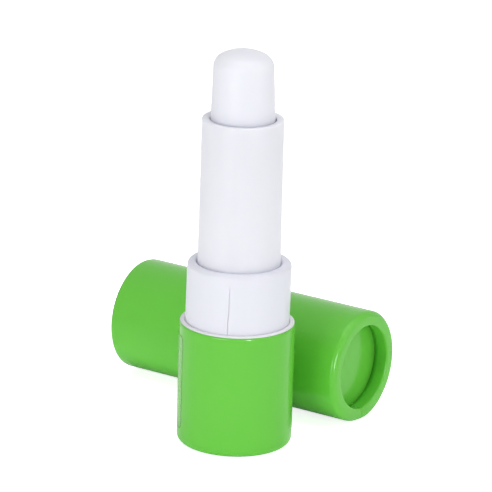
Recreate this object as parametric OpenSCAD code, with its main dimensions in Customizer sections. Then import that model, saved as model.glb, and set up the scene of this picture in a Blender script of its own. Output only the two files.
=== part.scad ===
// Twist-up lip balm in a paper tube, standing open beside its cap.
// Units are millimetres. The stick's axis is Z, and z = 0 is the surface that it stands on.
// The cap lies behind the stick with its axis along X, and its closed end points to +X.

/* [Barrel] */
// Outer diameter of the barrel where it leaves the neck
barrel_d = 15.8; // [14:0.1:24]
// How much narrower the barrel is at its top, across its diameter
barrel_draft = 0.3; // [0:0.05:0.6]
// Wall thickness at the barrel's top
barrel_wall = 0.75; // [0.6:0.05:1.2]
// How far the barrel stands out of the neck
barrel_show = 28; // [20:0.5:45]
// Rounding of the barrel's rim
barrel_rim_r = 0.3; // [0.1:0.05:0.5]

/* [Neck] */
// Gap between the neck's rolled rim and the barrel
barrel_gap = 0.15; // [0.1:0.05:0.4]
// Width of the hollow inside the neck's rolled rim
neck_hollow = 0.25; // [0.1:0.05:0.8]
// Depth of the turned-in part of the neck's rim
neck_roll_h = 3; // [1.5:0.1:6]
// Rounding of the neck's rolled rim
neck_edge_r = 0.9; // [0.4:0.05:1]
// Thickness of the neck's whole wall
neck_wall = 0.8; // [0.5:0.05:0.9]
// How far the neck stands out of the base
neck_show = 11.7; // [6:0.1:20]
// Where the neck wrap's seam lies, counted round the stick from +X
seam_angle = -66.5; // [-180:0.5:180]
// Width of the open seam in the neck wrap
seam_w = 0.12; // [0.05:0.01:0.5]

/* [Base] */
// Thickness of the base's whole wall
base_wall = 1; // [0.8:0.05:1.6]
// Height of the base
base_h = 24.1; // [18:0.1:40]
// Width of the hollow inside the rolled closed end of the base and of the cap
roll_hollow = 0.6; // [0.2:0.05:1.2]
// Rounding of the rolled closed end
roll_edge_r = 1.2; // [0.5:0.05:1.3]
// Depth of the recess that the rolled end leaves
roll_h = 3; // [2:0.1:5]

/* [Paper layers] */
// Thickness of the green laminated wrap
wrap_t = 0.15; // [0.08:0.01:0.25]
// Thickness of the white paper on the neck and on the discs
paper_t = 0.12; // [0.08:0.01:0.2]
// Thickness of the white lining inside the cap's wall
liner_t = 0.2; // [0.18:0.01:0.3]
// Thickness of the board discs
disc_t = 1; // [0.6:0.05:1.6]
// Glue line between two layers
glue_gap = 0.02; // [0.01:0.01:0.05]
// Gap between the glued neck and the base's wall
neck_glue_gap = 0.1; // [0.02:0.01:0.2]
// Gap between a rolled end and the disc behind it
disc_seat_gap = 0.1; // [0.02:0.02:0.3]

/* [Cap] */
// Room over the barrel's rim inside the closed cap
cap_headroom = 8.5; // [2:0.1:20]
// Radial clearance of the cap on the neck
cap_clearance = 0.1; // [0.05:0.01:0.2]
// Gap between the standing stick and the cap behind it
cap_gap = 1.9; // [0.5:0.1:20]
// How far the cap's closed end lies beyond the stick's axis
cap_end_x = 14; // [0:0.5:40]

/* [Knob and spindle] */
// Height of the knob inside the neck
knob_h = 9; // [6:0.1:12]
// Thickness of the knob's moulded walls
knob_wall = 1.4; // [1:0.1:2]
// Number of grip ribs round the knob
knob_ribs = 24; // [12:2:36]
// Height of a grip rib above the knob's drum
knob_rib_h = 0.9; // [0.4:0.05:1.2]
// Width of a grip rib
knob_rib_w = 0.8; // [0.4:0.1:1.2]
// Height of the journal that the barrel turns on
journal_h = 3.4; // [2.6:0.1:5]
// Radial running clearance of the barrel on the journal
journal_clearance = 0.08; // [0.04:0.01:0.1]
// Height of the snap bead on the journal
bead_h = 0.25; // [0.1:0.05:0.4]
// Width of the snap bead
bead_w = 0.8; // [0.4:0.1:1.2]
// Radius of the spindle's core
spindle_r = 1.6; // [1.2:0.1:2.2]
// Height of the spindle's thread
thread_h = 0.5; // [0.3:0.05:0.8]
// Rise of the thread in one turn
thread_pitch = 4; // [3:0.5:6]

/* [Carrier and balm] */
// Height of the cup that carries the balm
cup_h = 8; // [5:0.5:12]
// Thickness of the cup's floor
cup_floor = 1.2; // [0.8:0.1:2]
// Thickness of the cup's wall round the balm
cup_wall = 0.63; // [0.55:0.01:0.9]
// Radial clearance between the cup and the barrel
cup_clearance = 0.15; // [0.05:0.05:0.3]
// Height of the two keys along the barrel's bore
key_h = 0.4; // [0.2:0.05:0.6]
// Width of a key
key_w = 1.4; // [0.8:0.1:2.5]
// Clearance of a key in its slot, on every side
key_clearance = 0.1; // [0.05:0.05:0.2]
// Length of the nut under the balm
nut_l = 5.2; // [4:0.1:7]
// Thickness of the nut's wall
nut_wall = 0.9; // [0.6:0.1:1.5]
// How far the balm is wound up from its lower stop
wound_up = 14; // [0:0.5:30]
// How far the balm lies below the barrel's rim when it is wound right down
balm_sunk = 0.8; // [0.2:0.1:4]
// How much thinner the balm is where its shoulder starts, on its radius
balm_taper = 0.45; // [0:0.05:0.8]
// Length of the balm's tapered upper part
balm_taper_l = 12.8; // [8:0.1:20]
// Rounding of the balm's shoulder
balm_shoulder_r = 2.7; // [1:0.1:4]
// Rise of the balm's crown above its shoulder
balm_crown_h = 0.7; // [0.3:0.1:2]

/* [Label] */
// Height of the clear label's lower edge
label_z = 3.1; // [2:0.1:8]
// Distance of the clear label's upper edge from the base's rim
label_top_gap = 2.6; // [1:0.1:8]
// Width of the clear label, round the base
label_w = 21; // [10:0.5:40]
// Thickness of the clear label
label_t = 0.06; // [0.04:0.01:0.2]
// Rounding of the label's corners
label_corner_r = 1; // [0.5:0.1:3]
// Where the label's near edge lies, counted round the stick from +X
label_angle = -123.5; // [-180:0.5:180]

/* [Hidden] */
$fn = 96;
overrun = 1;

green = "#70cf4f";
white = "#ececf6";
board = "#e4e2da";
clear_film = [0.8, 0.95, 0.8, 0.35];

// Radii, worked from the barrel outwards
barrel_r = barrel_d / 2;
barrel_top_r = barrel_r - barrel_draft / 2;
bore_r = barrel_top_r - barrel_wall;
neck_bore_r = barrel_r + barrel_gap;
neck_roll_w = 2 * neck_wall + neck_hollow;
neck_r = neck_bore_r + neck_roll_w;
neck_in_r = neck_r - neck_wall;
base_in_r = neck_r + neck_glue_gap;
base_r = base_in_r + base_wall;
cap_bore_r = neck_r + cap_clearance;
cap_tube_in_r = cap_bore_r + liner_t + glue_gap;
roll_w = 2 * base_wall + roll_hollow;

// Heights, worked from the standing surface upwards
facing_z = roll_h + disc_seat_gap;
disc_z = facing_z + wrap_t + glue_gap;
lining_z = disc_z + disc_t + glue_gap;
floor_z = lining_z + paper_t;
neck_top = base_h + neck_show;
barrel_top = neck_top + barrel_show;
knob_top = floor_z + knob_h;
barrel_seat_gap = 0.3;
barrel_z = knob_top + barrel_seat_gap;
journal_top = knob_top + journal_h;
cap_l = barrel_top - base_h + floor_z + cap_headroom;
label_h = base_h - label_z - label_top_gap;

// Carrier, spindle and balm
stop_gap = 0.6;
stop_z = journal_top + stop_gap;
carrier_z = stop_z + wound_up;
rim_margin = 0.45;
lift_total = barrel_top - rim_margin - cup_h - stop_z;
nut_engaged = 2.4;
spindle_top = stop_z + lift_total + nut_engaged;
crest_r = spindle_r + thread_h;
thread_clearance = 0.1;
nut_bore_r = crest_r + thread_clearance;
cup_r = bore_r - cup_clearance;
balm_r = cup_r - cup_wall - glue_gap;
balm_top_r = balm_r - balm_taper;
balm_z = carrier_z + cup_floor + glue_gap;
balm_top = barrel_top - balm_sunk + wound_up;
spindle_hole_top = spindle_top + wound_up + stop_gap;

// Snap groove in the barrel's foot
bead_z = knob_top + journal_h / 2;
groove_play = 0.1;

// Half of a rolled tube's outline with its rolled end at the bottom, as radius and height.
// wall_t is the wall above the roll, and low is how far the outline starts above zero.
module rolled_outline(out_r, wall_t, width, round_r, roll_top, tube_top, low) {
    in_r = out_r - width;
    edge_r = min(round_r, width / 2 - glue_gap);
    translate([out_r - wall_t, low + edge_r])
        square([wall_t, tube_top - low - edge_r]);
    translate([in_r, low + edge_r])
        square([width, roll_top - low - edge_r]);
    translate([in_r + edge_r, low])
        square([width - 2 * edge_r, edge_r]);
    translate([out_r - edge_r, low + edge_r])
        intersection() {
            circle(edge_r);
            translate([0, -edge_r])
                square(edge_r);
        }
    translate([in_r + edge_r, low + edge_r])
        intersection() {
            circle(edge_r);
            translate([-edge_r, -edge_r])
                square(edge_r);
        }
}

// Paper skin on the outside of a rolled tube and up the inside of its roll
module rolled_skin(out_r, wall_t, width, edge_r, roll_top, tube_top, skin_t) {
    rotate_extrude()
        difference() {
            rolled_outline(out_r, wall_t, width, edge_r, roll_top, tube_top, 0);
            rolled_outline(out_r - skin_t, wall_t, width - 2 * skin_t, edge_r - skin_t,
                roll_top + overrun, tube_top + overrun, skin_t);
        }
}

// Board tube under that skin, with the narrow hollow inside its roll
module rolled_board(out_r, wall_t, width, edge_r, roll_top, tube_top, skin_t) {
    skin = skin_t + glue_gap;
    board_t = wall_t - skin;
    rotate_extrude()
        difference() {
            rolled_outline(out_r - skin, board_t, width - 2 * skin, edge_r - skin,
                roll_top, tube_top, skin);
            translate([out_r - width + wall_t, skin + board_t])
                square([width - 2 * wall_t, roll_top - skin - board_t + overrun]);
        }
}

// Round plate between two heights
module disc_layer(r, z, t) {
    translate([0, 0, z])
        cylinder(h = t, r = r);
}

// Ring between two heights
module ring(out_r, in_r, z, h) {
    translate([0, 0, z])
        rotate_extrude()
            translate([in_r, 0])
                square([out_r - in_r, h]);
}

// Moves a tube that stands on its rolled end to where the cap lies
module lay_down() {
    translate([cap_end_x, base_r + cap_gap + base_r, base_r])
        rotate([0, -90, 0])
            children();
}

module base_wrap() {
    color(green)
        rolled_skin(base_r, base_wall, roll_w, roll_edge_r, roll_h, base_h, wrap_t);
}

module base_tube() {
    color(board)
        rolled_board(base_r, base_wall, roll_w, roll_edge_r, roll_h, base_h, wrap_t);
}

module base_disc() {
    color(board)
        disc_layer(base_in_r - neck_glue_gap, disc_z, disc_t);
}

module base_disc_facing() {
    color(green)
        disc_layer(base_in_r - neck_glue_gap, facing_z, wrap_t);
}

module base_disc_lining() {
    color(white)
        disc_layer(base_in_r - neck_glue_gap, lining_z, paper_t);
}

// The neck is a rolled tube turned upside down, so its roll is the rim
module neck_turned() {
    translate([0, 0, neck_top])
        mirror([0, 0, 1])
            children();
}

module neck_tube() {
    color(board)
        neck_turned()
            rolled_board(neck_r, neck_wall, neck_roll_w, neck_edge_r,
                neck_roll_h, neck_top - floor_z, paper_t);
}

module neck_wrap() {
    color(white)
        difference() {
            neck_turned()
                rolled_skin(neck_r, neck_wall, neck_roll_w, neck_edge_r,
                    neck_roll_h, neck_top - floor_z, paper_t);
            rotate([0, 0, seam_angle])
                translate([neck_in_r, -seam_w / 2, 0])
                    cube([neck_wall + overrun, seam_w, neck_top - neck_edge_r]);
        }
}

// The centre of a corner's arc lies this share of the arc's radius in from the label's edges
corner_inset_share = 0.97;

// What is cut off one corner of the label, for a corner that points to +Y and +Z
module label_corner_cut(reach) {
    difference() {
        cube([reach, label_corner_r + overrun, label_corner_r + overrun]);
        rotate([0, 90, 0])
            cylinder(h = reach + overrun, r = label_corner_r);
    }
}

// Clear film round part of the base, with its four corners cut round
module clear_label() {
    film_r = base_r + label_t;
    arc = label_w / base_r * 180 / PI;
    inset = label_corner_r * corner_inset_share;
    inset_arc = inset / base_r * 180 / PI;
    color(clear_film)
        difference() {
            rotate([0, 0, label_angle - arc])
                rotate_extrude(angle = arc)
                    translate([base_r, label_z])
                        square([label_t, label_h]);
            for (side = [0, 1])
                for (end = [0, 1])
                    rotate([0, 0, label_angle - inset_arc - side * (arc - 2 * inset_arc)])
                        translate([0, 0, label_z + inset + end * (label_h - 2 * inset)])
                            mirror([0, side, 0])
                                mirror([0, 0, 1 - end])
                                    label_corner_cut(film_r + overrun);
        }
}

// Points of one thread section, its foot inside the core and its crest outside
function thread_section(foot_r, top_r, foot_w, top_w) =
    [[foot_r, -foot_w / 2], [top_r, -top_w / 2], [top_r, top_w / 2], [foot_r, foot_w / 2]];

// A ridge that climbs one pitch in each turn, as one closed tube of four sides
module thread_ridge(section, turns, steps) {
    rings = floor(turns * steps);
    corners = len(section);
    points = [
        for (i = [0:rings])
            for (p = section)
                let (a = 360 * i / steps)
                    [p[0] * cos(a), p[0] * sin(a), p[1] + thread_pitch * i / steps]
    ];
    sides = [
        for (i = [0:rings - 1])
            for (j = [0:corners - 1])
                let (k = (j + 1) % corners, low = i * corners, high = low + corners)
                    each [[low + j, high + k, high + j], [low + j, low + k, high + k]]
    ];
    last = rings * corners;
    ends = [[0, 2, 1], [0, 3, 2], [last, last + 1, last + 2], [last, last + 2, last + 3]];
    polyhedron(points, concat(sides, ends));
}

thread_foot_share = 0.36;
thread_crest_share = 0.2;
thread_foot_w = thread_pitch * thread_foot_share;
thread_crest_w = thread_pitch * thread_crest_share;
thread_steps = 16;
thread_bite = 0.3;
thread_z = stop_z + thread_foot_w / 2;

// Knob, journal, snap bead and threaded spindle, moulded in one piece
module drive_knob() {
    drum_r = neck_in_r - knob_rib_h - glue_gap;
    journal_r = bore_r - journal_clearance;
    post_r = spindle_r + knob_wall;
    color(white)
        union() {
            difference() {
                union() {
                    disc_layer(drum_r, floor_z, knob_h);
                    for (i = [0:knob_ribs - 1])
                        rotate([0, 0, 360 * i / knob_ribs])
                            translate([drum_r - knob_rib_h, -knob_rib_w / 2, floor_z])
                                cube([2 * knob_rib_h, knob_rib_w, knob_h]);
                    disc_layer(journal_r, knob_top, journal_h);
                }
                ring(drum_r - knob_wall, post_r, floor_z - overrun, knob_h - knob_wall + overrun);
            }
            translate([0, 0, bead_z])
                rotate_extrude()
                    polygon([
                        [journal_r - bead_h, -bead_w / 2], [journal_r, -bead_w / 2],
                        [journal_r + bead_h, -bead_h / 2], [journal_r + bead_h, bead_h / 2],
                        [journal_r, bead_w / 2], [journal_r - bead_h, bead_w / 2],
                    ]);
            disc_layer(spindle_r, knob_top, spindle_top - knob_top);
            translate([0, 0, thread_z])
                thread_ridge(
                    thread_section(spindle_r - thread_bite, crest_r, thread_foot_w, thread_crest_w),
                    (spindle_top - stop_z) / thread_pitch - 2 * thread_foot_share, thread_steps);
        }
}

// Barrel with a slight draft, a rounded rim, two keys in its bore and the snap groove in its foot
module barrel() {
    groove_w = bead_w + 2 * groove_play;
    groove_h = bead_h + groove_play;
    color(white)
        difference() {
            union() {
                rotate_extrude()
                    difference() {
                        polygon([
                            [bore_r, barrel_z], [barrel_r, barrel_z], [barrel_r, neck_top],
                            [barrel_top_r, barrel_top - barrel_rim_r],
                            [barrel_top_r, barrel_top], [bore_r, barrel_top],
                        ]);
                        translate([barrel_top_r - barrel_rim_r, barrel_top - barrel_rim_r])
                            difference() {
                                square(barrel_rim_r + overrun);
                                circle(barrel_rim_r);
                            }
                    }
                for (side = [0, 180])
                    rotate([0, 0, side])
                        intersection() {
                            translate([bore_r - key_h, -key_w / 2, stop_z])
                                cube([key_h + barrel_wall / 2, key_w, barrel_top - rim_margin - stop_z]);
                            disc_layer(bore_r + barrel_wall / 2, stop_z, barrel_top - stop_z);
                        }
            }
            translate([0, 0, bead_z])
                rotate_extrude()
                    translate([bore_r - groove_h, -groove_w / 2])
                        square([2 * groove_h, groove_w]);
        }
}

// Cup that carries the balm, slotted for the barrel's keys, with a threaded nut round the spindle.
// The nut's thread lies half a pitch from the spindle's, wherever the carrier stands.
module carrier_cup() {
    slot_w = key_w + 2 * key_clearance;
    slot_r = bore_r - key_h - key_clearance;
    nut_r = nut_bore_r + nut_wall;
    nut_thread_z = carrier_z + thread_foot_w / 2 + thread_clearance;
    nut_turns = (nut_l - thread_foot_w - 2 * thread_clearance) / thread_pitch;
    color(white)
        union() {
            difference() {
                union() {
                    ring(cup_r, balm_r + glue_gap, carrier_z, cup_h);
                    ring(cup_r, nut_bore_r, carrier_z, cup_floor);
                    ring(nut_r, nut_bore_r, carrier_z, nut_l);
                }
                for (side = [0, 180])
                    rotate([0, 0, side])
                        translate([slot_r, -slot_w / 2, carrier_z - overrun])
                            cube([key_h + overrun, slot_w, cup_h + 2 * overrun]);
            }
            rotate([0, 0, 360 * ((nut_thread_z - thread_z) / thread_pitch + 1 / 2)])
                translate([0, 0, nut_thread_z])
                    thread_ridge(
                        [for (p = thread_section(nut_bore_r + thread_bite, spindle_r + thread_clearance,
                            thread_foot_w, thread_crest_w)) [p[0], -p[1]]],
                        nut_turns, thread_steps);
        }
}

// Outline of the balm's upper end: tapered side, round shoulder, low crown
module balm_outline() {
    shoulder_x = balm_top_r - balm_shoulder_r;
    shoulder_z = balm_top - balm_crown_h - balm_shoulder_r;
    // The crown's arc touches the shoulder's arc and reaches the balm's top on the axis
    crown_r = (shoulder_x * shoulder_x + balm_crown_h * balm_crown_h) / (2 * balm_crown_h)
        + balm_shoulder_r;
    crown_z = balm_top - crown_r;
    crown_angle = atan2(shoulder_x, shoulder_z - crown_z);
    crown_steps = 8;
    shoulder_steps = 12;
    taper_z = shoulder_z - balm_taper_l;
    polygon(concat(
        [[0, balm_z], [balm_r, balm_z], [balm_r, taper_z]],
        [for (i = [0:shoulder_steps])
            let (a = (90 - crown_angle) * i / shoulder_steps)
                [shoulder_x + balm_shoulder_r * cos(a), shoulder_z + balm_shoulder_r * sin(a)]],
        [for (i = [crown_steps - 1:-1:0])
            let (a = crown_angle * i / crown_steps)
                [crown_r * sin(a), crown_z + crown_r * cos(a)]]
    ));
}

// Stick of balm, cast round the spindle and the nut
module balm() {
    nut_room = nut_bore_r + nut_wall + glue_gap;
    color(white)
        difference() {
            rotate_extrude()
                balm_outline();
            disc_layer(nut_bore_r, balm_z - overrun, spindle_hole_top - balm_z + overrun);
            disc_layer(nut_room, balm_z - overrun, carrier_z + nut_l - balm_z + glue_gap + overrun);
        }
}

module cap_wrap() {
    color(green)
        lay_down()
            rolled_skin(base_r, base_r - cap_bore_r, roll_w, roll_edge_r, roll_h, cap_l, wrap_t);
}

// The cap's board is what the wrap and the lining leave of its wall
module cap_tube() {
    color(board)
        lay_down()
            rolled_board(base_r, base_r - cap_tube_in_r, roll_w, roll_edge_r, roll_h, cap_l, wrap_t);
}

module cap_liner() {
    color(white)
        lay_down()
            ring(cap_bore_r + liner_t, cap_bore_r, floor_z + glue_gap, cap_l - floor_z - glue_gap);
}

module cap_disc() {
    color(board)
        lay_down()
            disc_layer(cap_tube_in_r - glue_gap, disc_z, disc_t);
}

module cap_disc_facing() {
    color(green)
        lay_down()
            disc_layer(cap_tube_in_r - glue_gap, facing_z, wrap_t);
}

module cap_disc_lining() {
    color(white)
        lay_down()
            disc_layer(cap_tube_in_r - glue_gap, lining_z, paper_t);
}

base_wrap();
base_tube();
base_disc();
base_disc_facing();
base_disc_lining();
neck_tube();
neck_wrap();
clear_label();
drive_knob();
barrel();
carrier_cup();
balm();
cap_wrap();
cap_tube();
cap_liner();
cap_disc();
cap_disc_facing();
cap_disc_lining();
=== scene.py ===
# %% [markdown]
# # A twist-up lip balm in a rolled paper tube
# The object is a short green paper tube with a white paper neck. A white plastic barrel stands in the neck,
# and the balm has been wound up out of it. The green cap lies on the table behind. This file dresses the
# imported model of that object: it loads the model as a fixed frame, builds the paper, plastic and wax that
# the eye sees around it, and sets up a camera and a small photo studio. Each step is a text cell that
# explains the piece and a code cell that makes it.

import math

import bmesh
import bpy
import numpy as np
from mathutils import Matrix, Vector


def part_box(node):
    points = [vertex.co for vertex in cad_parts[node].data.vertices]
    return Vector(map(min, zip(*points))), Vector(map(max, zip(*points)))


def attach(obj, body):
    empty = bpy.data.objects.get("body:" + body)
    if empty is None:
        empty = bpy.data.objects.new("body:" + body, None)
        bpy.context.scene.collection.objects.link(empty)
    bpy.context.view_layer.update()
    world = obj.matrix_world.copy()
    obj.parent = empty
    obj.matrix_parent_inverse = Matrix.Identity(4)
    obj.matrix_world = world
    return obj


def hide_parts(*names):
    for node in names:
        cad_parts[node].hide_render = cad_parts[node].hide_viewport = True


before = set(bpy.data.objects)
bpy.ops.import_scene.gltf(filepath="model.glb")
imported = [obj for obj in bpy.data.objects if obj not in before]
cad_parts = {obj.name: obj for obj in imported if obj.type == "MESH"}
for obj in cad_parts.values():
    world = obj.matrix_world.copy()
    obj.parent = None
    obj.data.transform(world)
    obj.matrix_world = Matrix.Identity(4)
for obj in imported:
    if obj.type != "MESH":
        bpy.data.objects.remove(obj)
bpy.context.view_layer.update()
mm = 0.001

# %% [markdown]
# ## Sizes
# Nothing is measured twice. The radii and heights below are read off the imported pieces, so the dressed
# pieces follow them. They could be typed in again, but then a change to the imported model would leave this
# file behind. Only what a bounding box can't tell, such as a paper's thickness, is a number here.

# %% Read the sizes of the tube, the neck, the barrel and the cap
def half_width(node):
    """Outer radius of a piece that stands upright on the stick's axis."""
    low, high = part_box(node)
    return (high.x - low.x) / 2


def bore_radius(node, low=-1, high=1):
    """Least distance of an upright piece from the stick's axis, between two heights."""
    points = [v.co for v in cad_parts[node].data.vertices]
    return min(math.hypot(p.x, p.y) for p in points if low <= p.z <= high)


wrap_t = 0.15 * mm
paper_t = 0.12 * mm
glue = 0.02 * mm

base_r = half_width("base_wrap")
base_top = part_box("base_wrap")[1].z
roll_in_r = bore_radius("base_wrap")
roll_edge = 1.2 * mm
facing_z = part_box("base_disc_facing")[0].z
facing_r = half_width("base_disc_facing")
roll_depth = facing_z - 0.1 * mm

neck_r = half_width("neck_wrap")
neck_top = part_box("neck_wrap")[1].z
neck_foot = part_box("neck_wrap")[0].z
neck_bore_r = bore_radius("neck_wrap")
neck_edge = 0.9 * mm
neck_lip = 0.6 * mm
neck_bulge = 0.09 * mm

barrel_r = half_width("barrel")
barrel_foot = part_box("barrel")[0].z
barrel_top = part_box("barrel")[1].z
balm_r = half_width("balm")
balm_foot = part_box("balm")[0].z
balm_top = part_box("balm")[1].z
print("base radius", round(base_r / mm, 2), "neck", round(neck_r / mm, 2), "barrel", round(barrel_r / mm, 2))

# %% Read where the cap lies
cap_low, cap_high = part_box("cap_wrap")
cap_r = (cap_high.z - cap_low.z) / 2
cap_l = cap_high.x - cap_low.x
cap_axis = Vector((0, (cap_low.y + cap_high.y) / 2, (cap_low.z + cap_high.z) / 2))
# A cap built standing on its closed end is laid down by this turn and shift
lay_down = Matrix.Translation((cap_high.x, cap_axis.y, cap_axis.z)) @ Matrix.Rotation(-math.pi / 2, 4, "Y")
liner_low, liner_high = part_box("cap_liner")
liner_r = (liner_high.z - liner_low.z) / 2
liner_foot = cap_high.x - liner_high.x
cap_facing_r = (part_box("cap_disc_facing")[1].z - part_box("cap_disc_facing")[0].z) / 2
print("cap", round(cap_l / mm, 2), "mm long, radius", round(cap_r / mm, 2))

# %% [markdown]
# ## Camera
# The photograph was taken from a little above the table with a long lens, so the tube's rim is a flat ellipse
# and its sides stay almost parallel. A camera could be aimed with a Track To constraint, but that leaves no
# room for the slight tilt that the picture has. So its three axes are built one by one, and the camera is
# placed on them.

# %% Stand the camera where the photographer stood
camera_azimuth = math.radians(33.55)
camera_elevation = math.radians(17.61)
camera_tilt = math.radians(1.745)
camera_distance = 785.7 * mm
camera_lens = 304.8
aim_height = 38.7 * mm
aim_sideways = 1.225 * mm


def compass(azimuth, elevation):
    """Direction from the object towards a place round it, as the camera's angles are counted."""
    flat = math.cos(elevation)
    return Vector((math.sin(azimuth) * flat, -math.cos(azimuth) * flat, math.sin(elevation)))


back = compass(camera_azimuth, camera_elevation)
level = Vector((math.cos(camera_azimuth), math.sin(camera_azimuth), 0))
upright = back.cross(level)
across = level * math.cos(camera_tilt) + upright * math.sin(camera_tilt)
up = back.cross(across)
camera = bpy.data.objects.new("camera", bpy.data.cameras.new("camera"))
bpy.context.scene.collection.objects.link(camera)
turn = Matrix((across, up, back)).transposed().to_4x4()
place = Vector((0, 0, aim_height)) + level * aim_sideways + back * camera_distance
camera.matrix_world = Matrix.Translation(place) @ turn
camera.data.lens = camera_lens
camera.data.clip_start = 10 * mm
camera.data.clip_end = 10
bpy.context.scene.camera = camera
bpy.context.scene.view_settings.view_transform = "Standard"
print("camera at", [round(x / mm) for x in place], "mm")

# %% [markdown]
# ## Nodes
# A material is a graph of nodes. It could be drawn by hand in the Shader Editor, but this file has to make it
# anew each time. A few small helpers keep the graphs short enough to read: they add a node and fill its
# inputs, wire an output to an input, do sums, blend colours, and start a node group.

# %% Helpers for node graphs
def add(tree, kind, settings=None, **inputs):
    """A new node of that kind. settings are its own options, and inputs are its sockets, by name."""
    node = tree.nodes.new(kind)
    for name, value in (settings or {}).items():
        setattr(node, name, value)
    for name, value in inputs.items():
        node.inputs[name.replace("_", " ")].default_value = value
    return node


def wire(tree, *steps):
    """Links pairs of (output socket, input socket)."""
    for out_socket, in_socket in steps:
        tree.links.new(out_socket, in_socket)


def maths(tree, operation, first, second=None):
    """A Math node on sockets or plain numbers, and its result's socket."""
    node = add(tree, "ShaderNodeMath", {"operation": operation})
    for socket, value in zip(node.inputs, (first, second)):
        if isinstance(value, bpy.types.NodeSocket):
            tree.links.new(value, socket)
        elif value is not None:
            socket.default_value = value
    return node.outputs[0]


def blend(tree, factor, first, second):
    """A colour between two, each a socket or a plain colour, by a factor from a socket."""
    node = add(tree, "ShaderNodeMix", {"data_type": "RGBA"})
    ends = [socket for socket in node.inputs if socket.enabled and socket.name in "AB"]
    tree.links.new(factor, node.inputs["Factor"])
    for socket, value in zip(ends, (first, second)):
        if isinstance(value, bpy.types.NodeSocket):
            tree.links.new(value, socket)
        else:
            socket.default_value = value
    return [socket for socket in node.outputs if socket.enabled][0]


def effect(name, inputs, outputs):
    """An empty node group with named inputs (name, kind, value) and outputs (name, kind)."""
    group = bpy.data.node_groups.new(name, "ShaderNodeTree")
    for label, kind, value in inputs:
        group.interface.new_socket(label, in_out="INPUT", socket_type=kind).default_value = value
    for label, kind in outputs:
        group.interface.new_socket(label, in_out="OUTPUT", socket_type=kind)
    return group, group.nodes.new("NodeGroupInput").outputs, group.nodes.new("NodeGroupOutput").inputs


FLOAT, COLOUR, VECTOR = "NodeSocketFloat", "NodeSocketColor", "NodeSocketVector"

# %% [markdown]
# ## Effects that several materials share
# Paper, plastic and wax differ in their numbers, not in kind: each has a fine relief, a slow drift of its
# tone, and a few marks from handling. The nodes could be repeated in every material, but then a change would
# have to be made many times. So each effect is a node group, built once and placed with its own values.

# %% Effect: fine relief
fine_relief, given, made = effect(
    "fine relief",
    [("Place", VECTOR, (0, 0, 0)), ("Grain size", FLOAT, 0.4 * mm), ("Stretch", VECTOR, (1, 1, 1)),
     ("Grain roughness", FLOAT, 0.55)],
    [("Height", FLOAT)])
stretched = add(fine_relief, "ShaderNodeVectorMath", {"operation": "MULTIPLY"})
grain = add(fine_relief, "ShaderNodeTexNoise", Detail=4)
wire(fine_relief,
     (given["Place"], stretched.inputs[0]),
     (given["Stretch"], stretched.inputs[1]),
     (stretched.outputs[0], grain.inputs["Vector"]),
     (maths(fine_relief, "DIVIDE", 1.0, given["Grain size"]), grain.inputs["Scale"]),
     (given["Grain roughness"], grain.inputs["Roughness"]),
     (grain.outputs["Fac"], made["Height"]))

# %% Effect: slow drift of tone
tone_drift, given, made = effect(
    "tone drift",
    [("Place", VECTOR, (0, 0, 0)), ("Color", COLOUR, (1, 1, 1, 1)), ("Amount", FLOAT, 0.03),
     ("Patch size", FLOAT, 12 * mm)],
    [("Color", COLOUR)])
patches = add(tone_drift, "ShaderNodeTexNoise", Detail=2)
brightness = add(tone_drift, "ShaderNodeHueSaturation")
swing = maths(tone_drift, "MULTIPLY", maths(tone_drift, "SUBTRACT", patches.outputs["Fac"], 0.5), 2.0)
wire(tone_drift,
     (given["Place"], patches.inputs["Vector"]),
     (maths(tone_drift, "DIVIDE", 1.0, given["Patch size"]), patches.inputs["Scale"]),
     (maths(tone_drift, "ADD", maths(tone_drift, "MULTIPLY", swing, given["Amount"]), 1.0),
      brightness.inputs["Value"]),
     (given["Color"], brightness.inputs["Color"]),
     (brightness.outputs["Color"], made["Color"]))

# %% Effect: marks from handling
handling, given, made = effect(
    "handling marks",
    [("Place", VECTOR, (0, 0, 0)), ("Mark size", FLOAT, 3 * mm), ("Spread", FLOAT, 0.3)],
    [("Mask", FLOAT)])
smears = add(handling, "ShaderNodeTexNoise", Detail=6, Roughness=0.7, Distortion=0.6)
threshold = add(handling, "ShaderNodeMapRange", {"interpolation_type": "SMOOTHSTEP"}, From_Max=0.8)
wire(handling,
     (given["Place"], smears.inputs["Vector"]),
     (maths(handling, "DIVIDE", 1.0, given["Mark size"]), smears.inputs["Scale"]),
     (smears.outputs["Fac"], threshold.inputs["Value"]),
     (maths(handling, "SUBTRACT", 0.75, given["Spread"]), threshold.inputs["From Min"]),
     (threshold.outputs["Result"], made["Mask"]))

# %% [markdown]
# ## Materials
# Every finish is a Principled shader. Its colour, roughness and normal come from the effects above, and
# what is the same all over a piece, such as the gloss of the film, is set on the shader itself.

# %% Helper: a finish from a base colour
def tone(red, green, blue):
    """A colour as a screen shows it, 0 to 255, turned into the linear numbers that the shader wants."""
    def linear(value):
        share = value / 255
        return share / 12.92 if share <= 0.04045 else ((share + 0.055) / 1.055) ** 2.4
    return linear(red), linear(green), linear(blue), 1.0


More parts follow.
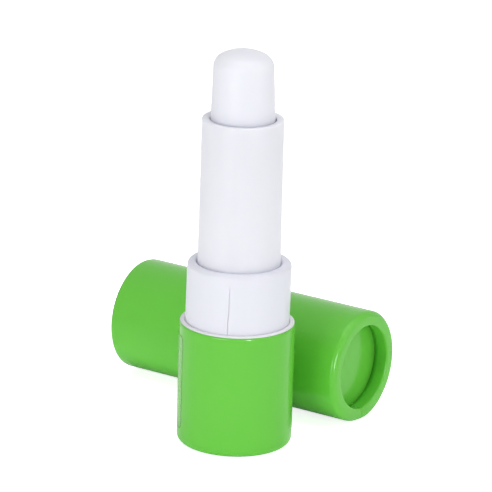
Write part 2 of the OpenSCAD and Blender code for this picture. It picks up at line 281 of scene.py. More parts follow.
def finish_of(name, colour, drift, patch_size, grain_size, grain_depth, smooth, rough,
              stretch=(1, 1, 1), on_paper=False, **shader):
    """A Principled material whose tone drifts, whose gloss varies from smooth to rough, and that has a grain.
    On paper, the effects follow the sheet as it was before it was rolled up, and otherwise the piece's own
    axes. Its node "drifting tone" gives the colour, for a later cell to build on."""
    material = bpy.data.materials.new(name)
    material.use_nodes = True
    tree = material.node_tree
    principled = tree.nodes["Principled BSDF"]
    for socket, value in shader.items():
        principled.inputs[socket.replace("_", " ")].default_value = value
    if on_paper:
        place = add(tree, "ShaderNodeUVMap", {"uv_map": "unrolled"}).outputs["UV"]
    else:
        place = add(tree, "ShaderNodeTexCoord").outputs["Object"]
    drifting = add(tree, "ShaderNodeGroup", {"node_tree": tone_drift, "name": "drifting tone"},
                   Color=colour, Amount=drift, Patch_size=patch_size)
    marks = add(tree, "ShaderNodeGroup", {"node_tree": handling}, Mark_size=3 * mm)
    grain = add(tree, "ShaderNodeGroup", {"node_tree": fine_relief}, Grain_size=grain_size, Stretch=stretch)
    gloss = add(tree, "ShaderNodeMapRange", To_Min=smooth, To_Max=rough)
    bump = add(tree, "ShaderNodeBump", Strength=1.0, Distance=grain_depth)
    wire(tree,
         (place, drifting.inputs["Place"]),
         (place, marks.inputs["Place"]),
         (place, grain.inputs["Place"]),
         (drifting.outputs["Color"], principled.inputs["Base Color"]),
         (marks.outputs["Mask"], gloss.inputs["Value"]),
         (gloss.outputs["Result"], principled.inputs["Roughness"]),
         (grain.outputs["Height"], bump.inputs["Height"]),
         (bump.outputs["Normal"], principled.inputs["Normal"]))
    return material


# %% [markdown]
# ### Green laminated paper
# The green paper has a gloss film on it. It could be a plain shader with a coat over it, but the film lies
# flat on the ink, so one smooth layer looks the same. Its grain is shallow, because the film bridges the
# paper's fibres, and drawn out along the tube's height, which the unrolled map makes possible.

# %% Green laminated paper
green_paper = finish_of(
    "green paper", tone(105, 200, 65), drift=0.02, patch_size=14 * mm, grain_size=0.5 * mm,
    grain_depth=0.004 * mm, smooth=0.17, rough=0.24, stretch=(1, 0.4, 1), on_paper=True,
    Specular_IOR_Level=0.26)
print("made", green_paper.name)

# %% [markdown]
# ### White papers
# The neck's paper and the cap's lining are smooth and uncoated, with a faint cool tone. They could share
# the green paper's finish in white, but bare paper is much less glossy and its fibres stand up more. The
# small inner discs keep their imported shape, which has no unrolled map, so theirs follows the piece's own
# axes.

# %% White papers
white_paper = finish_of(
    "white paper", tone(231, 232, 241), drift=0.01, patch_size=10 * mm, grain_size=0.25 * mm,
    grain_depth=0.006 * mm, smooth=0.4, rough=0.5, on_paper=True)
lining_paper = finish_of(
    "lining paper", tone(236, 237, 244), drift=0.012, patch_size=6 * mm, grain_size=0.25 * mm,
    grain_depth=0.006 * mm, smooth=0.45, rough=0.55)
print("made", white_paper.name, "and", lining_paper.name)

# %% [markdown]
# ### White board and cut paper edges
# The board is wound from plies, which show as fine rings where it is cut square. The rings could be a Wave
# texture, but their spacing has to be the ply's real thickness. So the distance from the axis is folded
# back and forth with a Math node, and each fold is one glue line.

# %% White board and cut paper edges
ply_t = 0.21 * mm
ply_line_w = 0.03 * mm
white_board = finish_of(
    "white board", tone(242, 241, 246), drift=0.03, patch_size=2 * mm, grain_size=0.12 * mm,
    grain_depth=0.02 * mm, smooth=0.8, rough=0.9)
tree = white_board.node_tree
colour = tree.nodes["drifting tone"].outputs["Color"]
shader = tree.nodes["Principled BSDF"]
place = add(tree, "ShaderNodeTexCoord")
flattened = add(tree, "ShaderNodeVectorMath", {"operation": "MULTIPLY"})
flattened.inputs[1].default_value = (1, 1, 0)
from_axis = add(tree, "ShaderNodeVectorMath", {"operation": "LENGTH"})
wire(tree,
     (place.outputs["Object"], flattened.inputs[0]),
     (flattened.outputs["Vector"], from_axis.inputs[0]))
ply = maths(tree, "PINGPONG", from_axis.outputs["Value"], ply_t / 2)
joint_line = add(tree, "ShaderNodeMapRange", {"interpolation_type": "SMOOTHSTEP"},
                 From_Max=ply_line_w, To_Min=1.0, To_Max=0.0)
wire(tree,
     (ply, joint_line.inputs["Value"]),
     (blend(tree, joint_line.outputs["Result"], colour, tone(222, 220, 226)), shader.inputs["Base Color"]))
cut_edge = finish_of(
    "cut paper edge", tone(240, 240, 244), drift=0.03, patch_size=1 * mm, grain_size=0.08 * mm,
    grain_depth=0.02 * mm, smooth=0.8, rough=0.9)
print("made", white_board.name, "and", cut_edge.name)

# %% [markdown]
# ### Moulded plastic
# The barrel is white plastic from a mould with a satin skin. It could be a plain white shader, but light
# goes a little way into such plastic and softens its shades. That is Subsurface Weight, and its scale is
# kept below the barrel's own size, or the light would leak right through. The inner parts are small and
# hidden, and do without it.

# %% Moulded plastic
barrel_plastic = finish_of(
    "barrel plastic", tone(241, 242, 254), drift=0.006, patch_size=18 * mm, grain_size=0.15 * mm,
    grain_depth=0.002 * mm, smooth=0.34, rough=0.42,
    Subsurface_Weight=0.5, Subsurface_Radius=(1.0, 1.0, 1.0), Subsurface_Scale=2 * mm)
inner_plastic = finish_of(
    "inner plastic", tone(236, 236, 240), drift=0.01, patch_size=9 * mm, grain_size=0.2 * mm,
    grain_depth=0.003 * mm, smooth=0.4, rough=0.5)
print("made", barrel_plastic.name, "and", inner_plastic.name)

# %% [markdown]
# ### Balm
# The balm is white wax with a dull shine, and it lets more light in than the plastic does. A glass shader
# with a dense volume would show that too, but slowly and with noise. Subsurface light with a slightly
# warmer depth gives the same milky look, over a grain that is broad and soft, as a poured surface has.

# %% Balm
balm_wax = finish_of(
    "balm wax", tone(238, 239, 249), drift=0.006, patch_size=4 * mm, grain_size=0.6 * mm,
    grain_depth=0.01 * mm, smooth=0.42, rough=0.55,
    Subsurface_Weight=0.7, Subsurface_Radius=(1.0, 1.0, 0.95), Subsurface_Scale=2.5 * mm)
print("made", balm_wax.name)

# %% [markdown]
# ### Clear label film
# The film is nearly invisible face on. Its gloss shows where it is seen at a slant, and its outermost edge is
# drawn as a darker green line. It could be real glass, but a film this thin hardly bends the light. So it is
# a pale film whose Alpha is low and rises with the slant, so that its pale colour paints the film's
# reflection at a slant over the shader's own gloss. Light on its way to the paper passes it unhindered.

# %% Clear label film
dark_edge_cover = 0.45
label_film = finish_of(
    "clear label film", tone(172, 218, 150), drift=0.01, patch_size=8 * mm, grain_size=0.8 * mm,
    grain_depth=0.003 * mm, smooth=0.3, rough=0.38)
tree = label_film.node_tree
colour = tree.nodes["drifting tone"].outputs["Color"]
shader = tree.nodes["Principled BSDF"]
to_edge = add(tree, "ShaderNodeAttribute", {"attribute_name": "to_edge"})
# A darker green line drawn along the film's outermost edge, 0.05 to 0.22 mm in
dark_edge_line = add(tree, "ShaderNodeMapRange", {"interpolation_type": "SMOOTHSTEP"},
                From_Min=0.05 * mm, From_Max=0.22 * mm, To_Min=1.0, To_Max=0.0)
# Painted reflection: the pale film colour covers more of the paper the more the film is seen at a slant, over
# the shader's own gloss
slant = add(tree, "ShaderNodeLayerWeight", Blend=0.35)
painted_sheen_cover = add(tree, "ShaderNodeMapRange", From_Max=1.0, To_Min=0.03, To_Max=0.32)
rays = add(tree, "ShaderNodeLightPath")
lit_through = maths(tree, "SUBTRACT", 1.0, rays.outputs["Is Shadow Ray"])
wire(tree,
     (to_edge.outputs["Fac"], dark_edge_line.inputs["Value"]),
     (slant.outputs["Facing"], painted_sheen_cover.inputs["Value"]),
     (blend(tree, dark_edge_line.outputs["Result"], colour, tone(70, 120, 60)), shader.inputs["Base Color"]),
     (maths(tree, "MAXIMUM", maths(tree, "MULTIPLY", painted_sheen_cover.outputs["Result"], lit_through),
            maths(tree, "MULTIPLY", dark_edge_line.outputs["Result"], dark_edge_cover)),
      shader.inputs["Alpha"]))
print("made", label_film.name)

# %% [markdown]
# ## Turning a piece
# All pieces of this object are round, so one helper makes them all: it turns an outline of (radius, height)
# points about the axis. A second one draws the outline, with an arc at each corner. Blender's Screw
# modifier turns outlines as well, but here each point can also be moved by a formula, for a lap, a seam or
# a key, and knows where it lay on the flat sheet.

# %% Helpers: outlines
def rounded(corners, closed=True, steps=6):
    """Points of an outline through corners of (radius, height, fillet), with an arc at each corner."""
    points = []
    count = len(corners)
    for i, (r, z, fillet) in enumerate(corners):
        here = np.array((r, z))
        if fillet == 0 or (not closed and i in (0, count - 1)):
            points.append(here)
            continue
        to_last = np.array(corners[i - 1][:2]) - here
        to_next = np.array(corners[(i + 1) % count][:2]) - here
        to_last /= np.linalg.norm(to_last)
        to_next /= np.linalg.norm(to_next)
        half = math.acos(np.clip(to_last @ to_next, -1, 1)) / 2
        middle = to_last + to_next
        centre = here + middle / np.linalg.norm(middle) * fillet / math.sin(half)
        start = here + to_last * fillet / math.tan(half) - centre
        end = here + to_next * fillet / math.tan(half) - centre
        sweep = math.pi - 2 * half
        for k in range(steps + 1):
            share = k / steps
            reach = start * math.sin((1 - share) * sweep) + end * math.sin(share * sweep)
            points.append(centre + reach / math.sin(sweep))
    fresh = [True] + [np.linalg.norm(b - a) > 0.001 * mm for a, b in zip(points, points[1:])]
    return np.array(points)[fresh]


def filled_in(points, longest, closed=True):
    """The same outline with extra points, so that no straight run is longer than longest."""
    ends = np.roll(points, -1, axis=0) if closed else points[1:]
    full = []
    for a, b in zip(points, ends):
        parts = max(1, math.ceil(np.linalg.norm(b - a) / longest - 1e-6))
        full += [a + (b - a) * k / parts for k in range(parts)]
    if not closed:
        full.append(points[-1])
    return np.array(full)


# %% Helper: turn an outline about the axis
def turned(name, outline, material, closed=True, columns=192, start=0.0, sweep=2 * math.pi,
           relief=None, skew=None, **marks):
    """A mesh made by turning an outline about the axis from an angle start, through sweep. The outline runs
    down the outside. relief(angle, along, r, z) gives how far each point stands out of the outline, and
    skew(angle, z) how far it is turned about the axis, as arrays. Each of marks is such a function too, whose
    values the mesh keeps."""
    if closed:
        outline = np.vstack([outline, outline[:1]])
    steps = np.diff(outline, axis=0)
    along = np.concatenate([[0], np.cumsum(np.hypot(*steps.T))])
    tangent = np.gradient(outline, axis=0)
    if closed:
        tangent[0] = tangent[-1] = outline[1] - outline[-2]
    tangent /= np.maximum(np.linalg.norm(tangent, axis=1, keepdims=True), 1e-12)
    angle = start + sweep * np.arange(columns + 1) / columns
    a, s = np.meshgrid(angle, along, indexing="ij")
    r, z = np.broadcast_to(outline[:, 0], a.shape), np.broadcast_to(outline[:, 1], a.shape)
    if relief is not None:
        out = relief(a, s, r, z)
        r, z = r - tangent[:, 1] * out, z + tangent[:, 0] * out
    if skew is not None:
        a = a + skew(a, z)
    values = {label: mark(a, s, r, z) for label, mark in marks.items()}
    points = np.stack([r * np.cos(a), r * np.sin(a), z], axis=-1)
    return skin(name, points, material, a * outline[:, 0].max(), s, **values)


def skin(name, points, material, flat_u, flat_v, **values):
    """An object whose mesh is the grid of points, [columns, rows, 3]. Points that meet are joined. A UV map
    called unrolled holds where each point lies when the paper is laid flat, in metres, and values are kept by
    name."""
    columns, rows = points.shape[:2]
    index = np.arange(columns * rows).reshape(columns, rows)
    faces = np.stack([index[:-1, :-1], index[:-1, 1:], index[1:, 1:], index[1:, :-1]], axis=-1).reshape(-1, 4)
    mesh = bpy.data.meshes.new(name)
    mesh.from_pydata(points.reshape(-1, 3).tolist(), [], faces.tolist())
    flat = np.stack([flat_u, flat_v], axis=-1).reshape(-1, 2)[faces.ravel()]
    mesh.uv_layers.new(name="unrolled").data.foreach_set("uv", flat.astype(np.float32).ravel())
    for label, value in values.items():
        kept = mesh.attributes.new(label, "FLOAT", "POINT")
        kept.data.foreach_set("value", value.astype(np.float32).ravel())
    work = bmesh.new()
    work.from_mesh(mesh)
    bmesh.ops.remove_doubles(work, verts=work.verts, dist=0.0005 * mm)
    work.to_mesh(mesh)
    work.free()
    mesh.materials.append(material)
    mesh.shade_smooth()
    mesh.set_sharp_from_angle(angle=math.radians(40))
    piece = bpy.data.objects.new(name, mesh)
    bpy.context.scene.collection.objects.link(piece)
    return piece


def smooth_step(share):
    """0 below 0, 1 above 1, and an easy rise between."""
    share = np.clip(share, 0, 1)
    return share * share * (3 - 2 * share)


# %% Helper: hand a finished piece over to the frame
def seat(piece, body, slot, *nodes):
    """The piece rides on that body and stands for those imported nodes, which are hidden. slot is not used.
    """
    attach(piece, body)
    if nodes:
        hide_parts(*nodes)
    print(piece.name, "has", len(piece.data.vertices), "points")


# %% [markdown]
# ## Green wraps
# The base and the cap are board tubes with a green laminated paper glued round them. The paper laps over
# itself by a few millimetres, and at the closed end it is rolled over the board and tucked inwards. The lap
# presses the board in a little, so the upper layer lies at the full radius, and next to it the tube eases
# back out. The wrap could be a closed shell with a drawn line for the lap, but then the lap would vanish at
# a slant. A sheet with no thickness follows the outline of the outside, and Blender's Solidify modifier
# then gives it the paper's thickness. The cut edges take a second material, because the paper is white
# inside.

# %% How the lap presses in
lap_width = 3 * mm
lap_ease = 7 * mm
dent = wrap_t + glue
pressed_w = 2.4 * mm
pressed_in = 0.7
pressed_in_roll = 0.92
pressed_rise = 2 * mm


def pressed_by_lap(radius, start):
    """Relief of what lies under the lap: it stands back by one layer, and eases out past the lap's edge."""
    def relief(angle, along, r, z):
        past = (angle - start) * radius - lap_width
        return -dent * (1 - smooth_step(past / lap_ease))
    return relief


# %% The base's and the cap's wrap
def paper_thick(sheet, thickness):
    """Gives a sheet its thickness inwards, with white cut edges. Where it is pressed, it is thinner."""
    sheet.data.materials.append(cut_edge)
    thick = sheet.modifiers.new("paper thickness", "SOLIDIFY")
    thick.thickness = thickness
    thick.offset = -1
    thick.use_even_offset = True
    thick.material_offset_rim = 1
    if "pressed" in sheet.data.attributes:
        group = sheet.vertex_groups.new(name="thickness")
        for i, pressed in enumerate(sheet.data.attributes["pressed"].data):
            group.add([i], 1 - pressed.value, "REPLACE")
        thick.vertex_group = group.name
    return sheet


def green_wrap(name, radius, height, edge, bare_edge, lap_angle):
    """The green sheet round a tube that stands on its rolled end, with the board's top edge left bare."""
    top = height - bare_edge
    outline = rounded([
        (radius - tucked, top, 0), (radius, top - tuck_h, tuck_bend), (radius, 0, edge),
        (roll_in_r - lip_bulge, 0, lip_edge), (roll_in_r, roll_depth, 0)], closed=False, steps=10)
    outline = filled_in(outline, 1 * mm, closed=False)
    under = pressed_by_lap(radius, lap_angle)

    def pressed(angle, along, r, z):
        """How much of its thickness the upper layer has lost: most at its edge and on the roll."""
        past = (angle - lap_angle - 2 * math.pi) * radius
        share = pressed_in_roll + (pressed_in - pressed_in_roll) * smooth_step((z - edge) / pressed_rise)
        return share * smooth_step((past - lap_width + pressed_w) / pressed_w)

    def relief(angle, along, r, z):
        return under(angle, along, r, z) - wrap_t * pressed(angle, along, r, z)

    sweep = 2 * math.pi + lap_width / radius
    sheet = turned(name, outline, green_paper, closed=False, columns=300, start=lap_angle, sweep=sweep,
                   relief=relief, pressed=pressed)
    return paper_thick(sheet, wrap_t)


base_lap = math.radians(95)
base_edge = 1.25 * mm
base_bare = 0.2 * mm
tucked = 0.14 * mm
tuck_h = 0.42 * mm
tuck_bend = 0.9 * mm
lip_edge = 0.4 * mm
lip_bulge = 0.25 * mm
cap_lap = math.radians(166)
base_wrap = green_wrap("base_green_wrap", base_r, base_top, base_edge, base_bare, base_lap)
seat(base_wrap, "base", "green_paper", "base_wrap")
cap_wrap = green_wrap("cap_green_wrap", cap_r, cap_l, roll_edge, 0, cap_lap)
cap_wrap.matrix_world = lay_down
seat(cap_wrap, "cap", "green_paper", "cap_wrap")

# %% [markdown]
# ## Board tubes
# The tubes are wound from grey-white board. One end is rolled inwards with the wrap, which leaves a narrow
# hollow in the roll, and the other end is cut square. A curled end could be made with a bend modifier on a
# straight tube, but its section is the same all round, so it is drawn once as a closed outline and turned.
# The outline runs just under the wrap's, and takes the lap's dent from the same function.

# %% The board tubes of the base and the cap
def rolled_board(name, radius, wall, width, edge, lip, bulge, top, paper, start=0.0, relief=None,
                 top_cut=0.04 * mm):
    """A board tube that stands on its rolled end, under paper of that thickness. width is the whole roll's,
    edge and lip are the bends at its outside and inside, and bulge is how far the lip stands inwards."""
    under = paper + glue
    bend = 0.3 * mm
    cut = 0.04 * mm
    outline = rounded([
        (radius - under, top, top_cut), (radius - under, under, edge - under),
        (radius - width - bulge + under, under, lip - under),
        (radius - width + under, roll_depth, cut), (radius - width + wall, roll_depth, cut),
        (radius - width + wall, wall, bend), (radius - wall, wall, bend), (radius - wall, top, cut)])
    return turned(name, filled_in(outline, 2 * mm), white_board, start=start, relief=relief)


def dented(radius, wall, width, start):
    """The lap's dent in every face of a board that the wrap covers, with its inside left as it is."""
    relief = pressed_by_lap(radius, start)

    def covered_only(angle, along, r, z):
        covered = (r > radius - wall / 2) | (z < wall / 2) | (r < radius - width + wall / 2)
        return np.where(covered, relief(angle, along, r, z), 0)
    return covered_only


roll_w = base_r - roll_in_r
base_wall = base_r - bore_radius("base_tube", roll_depth + mm, base_top)
base_board = rolled_board(
    "base_board_tube", base_r, base_wall, roll_w, base_edge, lip_edge, lip_bulge, base_top, wrap_t,
    start=base_lap, relief=dented(base_r, base_wall, roll_w, base_lap), top_cut=tuck_h)
seat(base_board, "base", "white_board", "base_tube")
cap_wall = cap_r - liner_r - glue
cap_board = rolled_board(
    "cap_board_tube", cap_r, cap_wall, roll_w, roll_edge, lip_edge, lip_bulge, cap_l, wrap_t,
    start=cap_lap, relief=dented(cap_r, cap_wall, roll_w, cap_lap), top_cut=tuck_h)
cap_board.matrix_world = lay_down
seat(cap_board, "cap", "white_board", "cap_tube")

# %% [markdown]
# ## Green end discs
# A round disc, faced with the same green paper, closes each tube from inside its rolled end. A filled
# circle would do for its flat face, but the edge shows in the shadow of the roll. So it is turned as well,
# with the paper's thickness, and the paper's grain keeps its scale.

# %% The two green facings
def end_facing(name, radius):
    """A green disc with the paper's thickness, for a tube that stands on its rolled end."""
    z = facing_z
    outline = np.array([(0, z + wrap_t), (radius, z + wrap_t), (radius, z), (0, z)])
    return turned(name, filled_in(outline, 1 * mm, closed=False), green_paper, closed=False)


base_facing = end_facing("base_green_facing", facing_r)
seat(base_facing, "base", "green_paper", "base_disc_facing")
cap_facing = end_facing("cap_green_facing", cap_facing_r)
cap_facing.matrix_world = lay_down
seat(cap_facing, "cap", "green_paper", "cap_disc_facing")

# %% [markdown]
# ## White neck
# The neck is a board tube in white paper. Its rim is rolled inwards and bulges towards the barrel, and the
# paper's two edges meet in a seam that runs down the front. The seam could be a painted line, but that
# would stay the same in every light. Here the sheet is turned once round with two free edges, which are
# moved apart and to the side by formulas. The neck's mouth is round and close to the barrel, but the roll
# is a little thicker on one side, so that its outside leans by less than a degree.

# %% Helper: lean a piece over
# The two ways to lean, as angles counted from +X: to the photograph's right and to its left
rightwards = camera_azimuth
leftwards = camera_azimuth + math.pi


def leaning(piece, foot, lean, towards, still_r=-1.0, full_r=0.0):
    """Leans a piece over by an angle, from a foot height up, towards an angle counted from +X. What is nearer
    to the axis than still_r stands still, and from full_r outwards the lean is full."""
    shift = Vector((math.cos(towards), math.sin(towards), 0)) * math.tan(lean)
    for vertex in piece.data.vertices:
        share = smooth_step((math.hypot(vertex.co.x, vertex.co.y) - still_r) / (full_r - still_r))
        vertex.co += shift * float(share) * max(vertex.co.z - foot, 0)
    return piece


# %% The neck's paper, with its open seam
seam_angle = math.radians(-66.5)
seam_gap = 0.055 * mm
seam_top = neck_top - 2.3 * mm
seam_opens = 1.5 * mm
seam_reach = 4 * mm
seam_jog = 0.11 * mm
seam_jog_h = 0.8 * mm
seam_jog_z = 27.7 * mm
flap_w = 0.45 * mm
flap_h = 0.6 * mm
flap_lift = 0.035 * mm


def neck_paper():
    """The sheet's two edges touch on the roll and part below it. Near the base the seam jogs to one side, and
    the corner of one edge lifts into a small flap."""
    outline = rounded([
        (neck_bore_r, neck_top - roll_depth, 0), (neck_bore_r - neck_bulge, neck_top, neck_lip),
        (neck_r, neck_top, neck_edge), (neck_r, neck_foot, 0)], closed=False, steps=10)
    outline = filled_in(outline, 0.6 * mm, closed=False)

    def from_seam(angle):
        """Distance along the paper from the seam, and the side of it as 1 or -1."""
        past = angle - seam_angle
        side = np.where(past < math.pi, 1, -1)
        return np.where(past < math.pi, past, 2 * math.pi - past) * neck_r, side

    def part(angle, z):
        """How far the paper is turned about the axis, to open the seam and to jog it."""
        away, side = from_seam(angle)
        near = 1 - smooth_step(away / seam_reach)
        open_share = smooth_step((seam_top - z) / seam_opens) * (z < neck_top - neck_edge)
        jog = seam_jog * smooth_step((seam_jog_z - z) / seam_jog_h) - seam_jog / 2
        return near * (side * seam_gap / 2 * open_share - jog) / neck_r

    def flap(angle, along, r, z):
        """How far the corner of the sheet's one edge stands up."""
        away, side = from_seam(angle)
        on_flap = (side < 0) & (away < flap_w) & (r > neck_r - 0.01 * mm)
        return flap_lift * on_flap * smooth_step((seam_jog_z - z) / flap_h)

    sheet = turned("neck_white_wrap", outline, white_paper, closed=False, columns=480,
                   start=seam_angle, skew=part, relief=flap)
    return paper_thick(sheet, paper_t)


neck_lean = math.radians(0.7)
still_r = neck_bore_r + 0.3 * mm
full_r = neck_r - 0.3 * mm
neck_sheet = leaning(neck_paper(), base_top, neck_lean, rightwards, still_r, full_r)
seat(neck_sheet, "base", "white_paper", "neck_wrap")

# %% The neck's board tube
# It is made standing on its rolled end, as the others are, and then turned over
neck_wall = neck_r - bore_radius("neck_tube", neck_foot, neck_top - roll_depth - mm)
neck_board = rolled_board(
    "neck_board_tube", neck_r, neck_wall, neck_r - neck_bore_r, neck_edge, neck_lip, neck_bulge,
    neck_top - neck_foot, paper_t)
neck_board.data.transform(Matrix.Translation((0, 0, neck_top)) @ Matrix.Rotation(math.pi, 4, "X"))
leaning(neck_board, base_top, neck_lean, rightwards, still_r, full_r)
seat(neck_board, "base", "white_board", "neck_tube")

# %% [markdown]
# ## Barrel
# The barrel is moulded plastic. It narrows a little upwards, so that it leaves its mould, and its rim is
# rounded. A thin lip turns inwards at its mouth and closes most of the gap round the balm. It ends just
# above the highest place that the carrier's cup reaches. Two keys run down the bore below it and keep the
# carrier from turning. A tube with a Solidify modifier would have the wall, but not the lip, nor the groove
# that snaps over the knob's bead. One closed outline has them all, and the keys are a relief on it.

# %% The barrel
barrel_draft = 0.15 * mm
barrel_wall = 0.75 * mm
barrel_rim = 0.3 * mm
key_h = 0.4 * mm
key_w = 1.4 * mm
key_top_gap = 0.45 * mm
key_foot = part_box("carrier_cup")[0].z - 14 * mm
groove_z = barrel_foot + 1.4 * mm
groove_w = 1.0 * mm
groove_h = 0.35 * mm
barrel_top_r = barrel_r - barrel_draft
barrel_bore = barrel_top_r - barrel_wall
lip_r = balm_r + 0.08 * mm
lip_foot = barrel_top - 0.4 * mm
lip_fall = 0.14 * mm
barrel_outline = filled_in(rounded([
    (barrel_top_r, barrel_top, barrel_rim), (barrel_r, neck_top, 0), (barrel_r, barrel_foot, 0),
    (barrel_bore, barrel_foot, 0), (barrel_bore, groove_z - groove_w / 2, 0),
    (barrel_bore + groove_h, groove_z - groove_w / 2, 0),
    (barrel_bore + groove_h, groove_z + groove_w / 2, 0),
    (barrel_bore, groove_z + groove_w / 2, 0), (barrel_bore, lip_foot, 0), (lip_r, lip_foot, 0.05 * mm),
    (lip_r, barrel_top - lip_fall, 0.08 * mm), (barrel_top_r - 0.7 * mm, barrel_top, 0)]), 0.8 * mm)


def keys(angle, along, r, z):
    """The two keys stand out of the bore, at 0 and 180 degrees."""
    sideways = np.abs(np.sin(angle)) * barrel_bore
    in_bore = (r < barrel_bore + 0.01 * mm) & (z < barrel_top - key_top_gap) & (z > key_foot)
    return np.where(in_bore & (sideways < key_w / 2), key_h, 0)


barrel = turned("barrel_shell", barrel_outline, barrel_plastic, columns=288, relief=keys)
seat(barrel, "barrel", "white_plastic", "barrel")

# %% [markdown]
# ## Balm
# The balm is poured wax, so its shape is its mould's: a slight taper, a round shoulder and a low crown. Its
# underside has a hole for the spindle. It could be sculpted from a sphere, but two arcs that meet without a
# crease are what the mould has. The soft end leans a little to one side, as it does once it was wound out.

# %% The balm
balm_taper = 0.45 * mm
balm_taper_l = 12.8 * mm
balm_shoulder = 2.7 * mm
balm_crown = 0.7 * mm
balm_lean = math.radians(0.8)
balm_lean_foot = barrel_top - 3.8 * mm
balm_points = [v.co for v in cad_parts["balm"].data.vertices]
hole_points = [p for p in balm_points if math.hypot(p.x, p.y) < balm_r / 1.5]
nut_room_r = bore_radius("balm", balm_foot - glue, balm_foot + glue)
hole_r = bore_radius("balm", balm_foot + glue, balm_top - 5 * mm)
hole_top = max(p.z for p in hole_points if p.z < balm_top - 3 * mm)
nut_room_top = min(p.z for p in hole_points if math.hypot(p.x, p.y) < (hole_r + nut_room_r) / 2)
print("spindle hole radius", round(hole_r / mm, 2), "to", round(hole_top / mm, 2))
print("nut room radius", round(nut_room_r / mm, 2), "to", round(nut_room_top / mm, 2))


def balm_outline():
    """From the crown's middle over the shoulder and down the side, then back to the axis."""
    shoulder_r = balm_r - balm_taper - balm_shoulder
    shoulder_z = balm_top - balm_crown - balm_shoulder
    crown_r = (shoulder_r ** 2 + balm_crown ** 2) / (2 * balm_crown) + balm_shoulder
    crown_angle = math.atan2(shoulder_r, shoulder_z - balm_top + crown_r)
    crown = [(crown_r * math.sin(a), balm_top - crown_r + crown_r * math.cos(a))
             for a in np.linspace(0, crown_angle, 12)]
    shoulder = [(shoulder_r + balm_shoulder * math.sin(a), shoulder_z + balm_shoulder * math.cos(a))
                for a in np.linspace(crown_angle, math.pi / 2, 14)[1:]]
    side = [(balm_r, shoulder_z - balm_taper_l), (balm_r, balm_foot)]
    spindle_hole = [(nut_room_r, balm_foot), (nut_room_r, nut_room_top), (hole_r, nut_room_top),
                    (hole_r, hole_top), (0, hole_top)]
    return filled_in(np.array(crown + shoulder + side + spindle_hole), 0.8 * mm, closed=False)


balm = turned("balm_stick", balm_outline(), balm_wax, closed=False)
leaning(balm, balm_lean_foot, balm_lean, leftwards)
seat(balm, "carrier", "balm", "balm")

# %% [markdown]
# ## Cap lining
# White paper lines the cap, so that the neck slides in without rubbing on raw board. It is a plain sleeve
# from the disc to the open end. A copy of the board's inner face could be thickened, but a turned outline
# also eases both of its cut edges.

# %% The cap's white lining
liner_t = 0.2 * mm
liner_in_r = liner_r - liner_t
liner_outline = filled_in(rounded([
    (liner_r, cap_l, 0.05 * mm), (liner_r, liner_foot, 0.02 * mm), (liner_in_r, liner_foot, 0.02 * mm),
    (liner_in_r, cap_l, 0.05 * mm)]), 2 * mm)
cap_liner = turned("cap_white_lining", liner_outline, white_paper)
cap_liner.matrix_world = lay_down
seat(cap_liner, "cap", "white_paper", "cap_liner")

# %% [markdown]
# ## Clear label
# The real base carries a clear film label, and this one is left blank. Its edge is all that shows from the
# front, as a thin line on the left. It could be a line in the green paper's material, but then it would have
# no gloss of its own. So the film is a patch of the base's own curve, a hair outside the paper, and each
# point keeps its distance to the film's edge, which the material turns into a darker green line along that
# edge.

# %% The label
label_low, label_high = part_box("clear_label")
label_angle = math.radians(-123.5)
label_w = 21 * mm
label_t = 0.06 * mm
label_corner = 1 * mm
label_glue = 0.01 * mm


def clear_label():
    """A grid of points over the film, closer together towards its edges, where the corners are rounded."""
    columns, rows = 96, 48
    share = (1 - np.cos(np.linspace(0, math.pi, columns + 1))) / 2
    across_film = share * label_w
    to_side = np.minimum(across_film, label_w - across_film)
    into_corner = np.clip(label_corner - to_side, 0, label_corner)
    cut = label_corner - np.sqrt(label_corner ** 2 - into_corner ** 2)
    low, high = label_low.z + cut, label_high.z - cut
    rise = (1 - np.cos(np.linspace(0, math.pi, rows + 1))) / 2
    z = high[:, None] + (low - high)[:, None] * rise
    to_end = np.minimum(z - low[:, None], high[:, None] - z)
    to_edge = np.minimum(np.broadcast_to(to_side[:, None], z.shape), to_end)
    angle = np.broadcast_to((label_angle - (label_w - across_film) / base_r)[:, None], z.shape)
    radius = base_r + label_t
    points = np.stack([radius * np.cos(angle), radius * np.sin(angle), z], axis=-1)
    film = skin("base_clear_label", points, label_film, angle * radius, z, to_edge=to_edge)
    thick = film.modifiers.new("film thickness", "SOLIDIFY")
    thick.thickness = label_t - label_glue
    thick.offset = -1
    return film


seat(clear_label(), "base", "clear_film", "clear_label")

# %% [markdown]
# ## Pieces that stay as they were packed
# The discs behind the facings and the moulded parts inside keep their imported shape, because flat discs and
# moulded parts are as exact there as a new mesh would be. They take a finish like the rest, because they show
# when the balm is wound down or the model is taken apart.

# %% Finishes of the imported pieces
packed_finishes = {
    "base_disc": white_board, "cap_disc": white_board,
    "base_disc_lining": lining_paper, "cap_disc_lining": lining_paper,
    "drive_knob": inner_plastic, "carrier_cup": inner_plastic,
}
for node, finish in packed_finishes.items():
    for material_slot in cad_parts[node].material_slots:
        material_slot.link = "OBJECT"
        material_slot.material = finish
print("finished", len(packed_finishes), "packed pieces")

# %% [markdown]
# ## Studio
# A white table without an edge, a white room and soft boxes. The white behind the object comes from what
# the camera's own rays see in the floor and the world, and not from more light, so the colours stay as
# written. The room could be lit by an image of a studio, but this file reads none, and lamps are easier to
# follow. Two lamps have one purpose each. The floor wash lights the table only: it stands for the lit table
# of a product photograph, which throws light up at the underside of the cap. The glint is a narrow lamp
# that shows only in the gloss of the green paper, and draws the bright streak on the cap's rolled edge.

# %% Floor
half_floor = 3.0
floor_z = -0.02 * mm
floor_mesh = bpy.data.meshes.new("floor")
floor_corners = [(x * half_floor, y * half_floor, floor_z) for x, y in ((-1, -1), (1, -1), (1, 1), (-1, 1))]
floor_mesh.from_pydata(floor_corners, [], [(0, 1, 2, 3)])
floor = bpy.data.objects.new("floor", floor_mesh)
bpy.context.scene.collection.objects.link(floor)

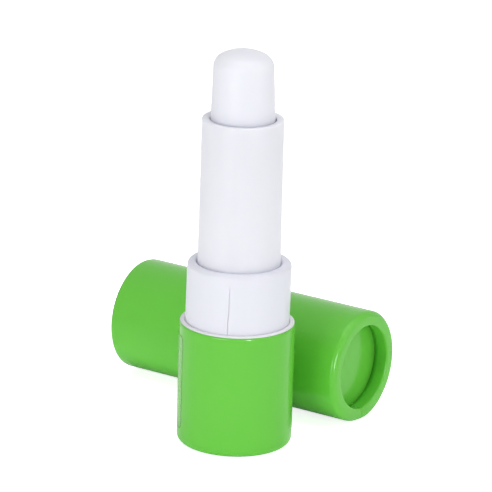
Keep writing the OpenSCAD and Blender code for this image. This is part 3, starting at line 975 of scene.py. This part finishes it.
# %% The floor's material
# Its glow is a little weaker near the object, so that the object's own shadow stays
near_glow = 0.82
gloss_glow = 0.08
floor_material = bpy.data.materials.new("studio floor")
floor_material.use_nodes = True
tree = floor_material.node_tree
tree.nodes.clear()
rays = add(tree, "ShaderNodeLightPath")
matt = add(tree, "ShaderNodeBsdfDiffuse", Color=(0.95, 0.95, 0.95, 1))
glow = add(tree, "ShaderNodeEmission", Color=(1, 1, 1, 1))
both = add(tree, "ShaderNodeAddShader")
out = add(tree, "ShaderNodeOutputMaterial")
mirrored = maths(tree, "MAXIMUM", rays.outputs["Is Glossy Ray"], rays.outputs["Is Transmission Ray"])
floor_place = add(tree, "ShaderNodeTexCoord")
from_middle = add(tree, "ShaderNodeVectorMath", {"operation": "LENGTH"})
far_glow = add(tree, "ShaderNodeMapRange", {"interpolation_type": "SMOOTHSTEP"},
               From_Min=200 * mm, From_Max=600 * mm, To_Min=near_glow, To_Max=1.0)
wire(tree,
     (floor_place.outputs["Object"], from_middle.inputs[0]),
     (from_middle.outputs["Value"], far_glow.inputs["Value"]))
glow_seen = maths(tree, "MULTIPLY", rays.outputs["Is Camera Ray"], far_glow.outputs["Result"])
glow_mirrored = maths(tree, "MULTIPLY", mirrored, gloss_glow)
wire(tree,
     (maths(tree, "ADD", glow_seen, glow_mirrored), glow.inputs["Strength"]),
     (matt.outputs[0], both.inputs[0]),
     (glow.outputs[0], both.inputs[1]),
     (both.outputs[0], out.inputs["Surface"]))
floor_mesh.materials.append(floor_material)

# %% World
air_light = 0.22
world = bpy.data.worlds.new("studio air")
bpy.context.scene.world = world
world.use_nodes = True
tree = world.node_tree
tree.nodes.clear()
rays = add(tree, "ShaderNodeLightPath")
ambient = add(tree, "ShaderNodeBackground", Color=(1, 1, 1, 1), Strength=air_light)
white = add(tree, "ShaderNodeBackground", Color=(1, 1, 1, 1), Strength=1.0)
chosen = add(tree, "ShaderNodeMixShader")
out = add(tree, "ShaderNodeOutputWorld")
seen = maths(tree, "MAXIMUM", rays.outputs["Is Camera Ray"],
             maths(tree, "MAXIMUM", rays.outputs["Is Glossy Ray"], rays.outputs["Is Transmission Ray"]))
wire(tree,
     (seen, chosen.inputs["Fac"]),
     (ambient.outputs[0], chosen.inputs[1]),
     (white.outputs[0], chosen.inputs[2]),
     (chosen.outputs[0], out.inputs["Surface"]))

# %% Lamps
# Each soft box: name, azimuth from the camera and elevation in degrees, width, height, power in watts
box_distance = 600 * mm
soft_boxes = [
    ("key", -34, 8, 250 * mm, 250 * mm, 1.16),
    ("strip", 26, 20, 25 * mm, 200 * mm, 0.2),
    ("glint", 24, 8, 25 * mm, 250 * mm, 2.3),
    ("right fill", 76, 10, 400 * mm, 400 * mm, 0.44),
    ("right high", 80, 48, 400 * mm, 400 * mm, 0.64),
    ("top", 0, 84, 500 * mm, 500 * mm, 1.56),
    ("back fill", 180, 22, 400 * mm, 400 * mm, 0.22),
    ("floor wash", 0, 89, 500 * mm, 500 * mm, 2.05),
]
floor_only = bpy.data.collections.new("lit by the floor wash")
floor_only.objects.link(floor)
green_only = bpy.data.collections.new("lit by the glint")
green_only.objects.link(cap_wrap)
green_only.objects.link(base_wrap)
for name, azimuth, elevation, width, height, power in soft_boxes:
    light = bpy.data.lights.new(name, "AREA")
    light.shape = "RECTANGLE"
    light.size = width
    light.size_y = height
    light.energy = power
    lamp = bpy.data.objects.new(name, light)
    bpy.context.scene.collection.objects.link(lamp)
    direction = compass(camera_azimuth + math.radians(azimuth), math.radians(elevation))
    lamp.location = direction * box_distance + Vector((0, 0, aim_height))
    lamp.visible_camera = False
    lamp.visible_glossy = name not in ("back fill", "floor wash", "strip")
    lamp.visible_diffuse = name != "glint"
    if name == "floor wash":
        lamp.light_linking.receiver_collection = floor_only
    elif name == "glint":
        lamp.light_linking.receiver_collection = green_only
    lamp.rotation_mode = "QUATERNION"
    lamp.rotation_quaternion = direction.to_track_quat("Z", "Y")
print("lamps:", ", ".join(box[0] for box in soft_boxes))
